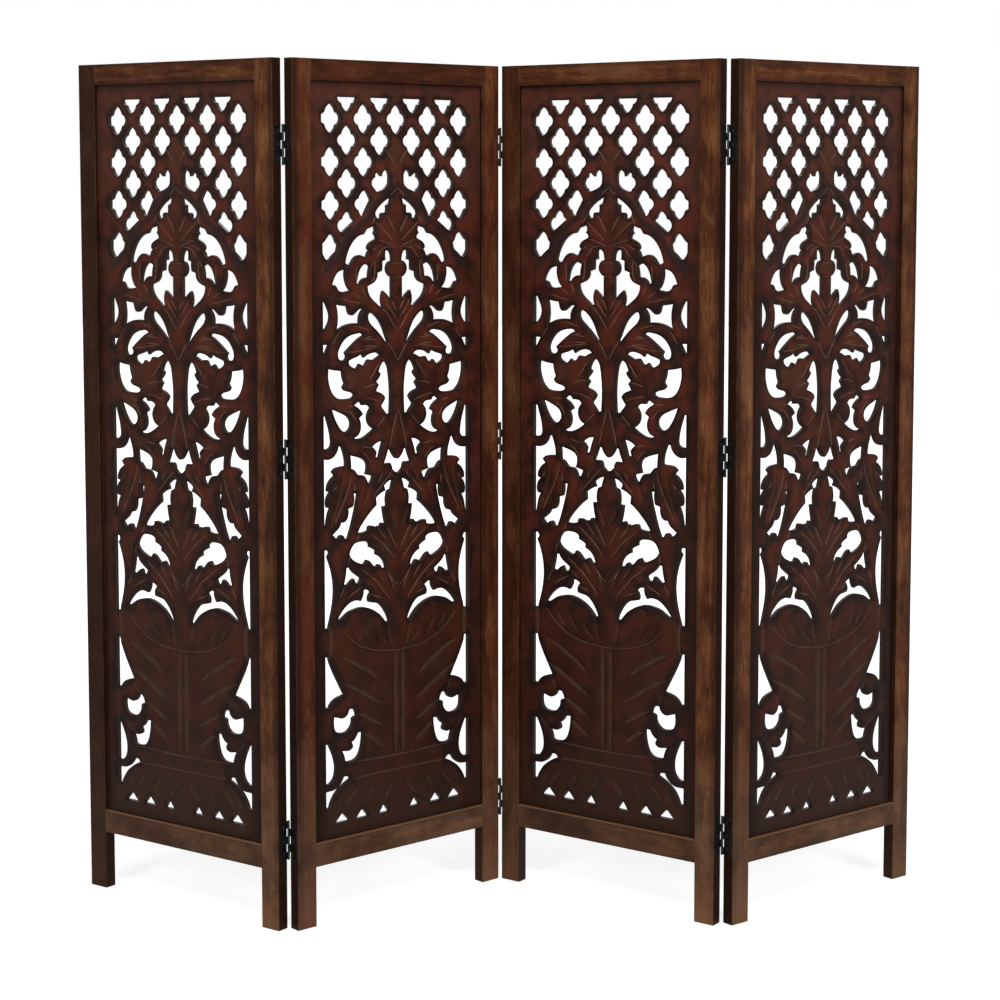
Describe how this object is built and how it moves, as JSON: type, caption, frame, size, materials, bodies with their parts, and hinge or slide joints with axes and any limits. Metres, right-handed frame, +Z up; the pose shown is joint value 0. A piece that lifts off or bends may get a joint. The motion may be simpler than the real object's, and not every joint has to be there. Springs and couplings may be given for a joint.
{
  "type": "folding screen",
  "caption": "Free-standing folding screen of hinged wooden frames, each with a pierced and carved board of lattice and foliage over a vase.",
  "frame": {"origin": "on the floor, under the middle of the box round the standing screen", "axes": "+X to the right of someone who faces the carved fronts, +Y away from them, +Z up"},
  "size_m": [1.8462, 0.4086, 1.829],
  "materials": {
    "frame_wood": "stained and polished hardwood, worn at the arrises",
    "board_wood": "dark reddish stain with burnished, nearly black edges",
    "hinge_steel": "black enamelled sheet steel",
    "screw_steel": "dark slotted wood screws"
  },
  "bodies": {
    "panel_1": {"stile_left_1": "frame_wood", "stile_right_1": "frame_wood", "top_rail_1": "frame_wood", "bottom_rail_1": "frame_wood", "carved_panel_1": "board_wood", "hinge_1_top_left_leaf": "hinge_steel", "hinge_1_middle_left_leaf": "hinge_steel", "hinge_1_bottom_left_leaf": "hinge_steel", "hinge_1_bottom_pin": "hinge_steel", "hinge_screws_right_1": "screw_steel"},
    "panel_2": {"stile_left_2": "frame_wood", "stile_right_2": "frame_wood", "top_rail_2": "frame_wood", "bottom_rail_2": "frame_wood", "carved_panel_2": "board_wood", "hinge_1_top_right_leaf": "hinge_steel", "hinge_1_top_pin": "hinge_steel", "hinge_1_middle_right_leaf": "hinge_steel", "hinge_1_middle_pin": "hinge_steel", "hinge_1_bottom_right_leaf": "hinge_steel", "hinge_screws_left_2": "screw_steel", "hinge_2_top_left_leaf": "hinge_steel", "hinge_2_top_pin": "hinge_steel", "hinge_2_middle_left_leaf": "hinge_steel", "hinge_2_middle_pin": "hinge_steel", "hinge_2_bottom_left_leaf": "hinge_steel", "hinge_2_bottom_pin": "hinge_steel", "hinge_screws_right_2": "screw_steel"},
    "panel_3": {"stile_left_3": "frame_wood", "stile_right_3": "frame_wood", "top_rail_3": "frame_wood", "bottom_rail_3": "frame_wood", "carved_panel_3": "board_wood", "hinge_2_top_right_leaf": "hinge_steel", "hinge_2_middle_right_leaf": "hinge_steel", "hinge_2_bottom_right_leaf": "hinge_steel", "hinge_screws_left_3": "screw_steel", "hinge_3_top_left_leaf": "hinge_steel", "hinge_3_middle_left_leaf": "hinge_steel", "hinge_3_middle_pin": "hinge_steel", "hinge_3_bottom_left_leaf": "hinge_steel", "hinge_screws_right_3": "screw_steel"},
    "panel_4": {"stile_left_4": "frame_wood", "stile_right_4": "frame_wood", "top_rail_4": "frame_wood", "bottom_rail_4": "frame_wood", "carved_panel_4": "board_wood", "hinge_3_top_right_leaf": "hinge_steel", "hinge_3_top_pin": "hinge_steel", "hinge_3_middle_right_leaf": "hinge_steel", "hinge_3_bottom_right_leaf": "hinge_steel", "hinge_3_bottom_pin": "hinge_steel", "hinge_screws_left_4": "screw_steel"}
  },
  "joints": [
    {"name": "fold_1", "type": "hinge", "parent": "panel_1", "child": "panel_2", "pos_m": [-0.45028, -0.18092, 1], "axis": [0, 0, 1], "range_deg": [-76.6, 103.4]},
    {"name": "fold_2", "type": "hinge", "parent": "panel_2", "child": "panel_3", "pos_m": [-0.00284, 0.16182, 1], "axis": [0, 0, 1], "range_deg": [-102.5, 77.5]},
    {"name": "fold_3", "type": "hinge", "parent": "panel_3", "child": "panel_4", "pos_m": [0.46904, -0.1464, 1], "axis": [0, 0, 1], "range_deg": [-75.7, 104.3]}
  ]
}
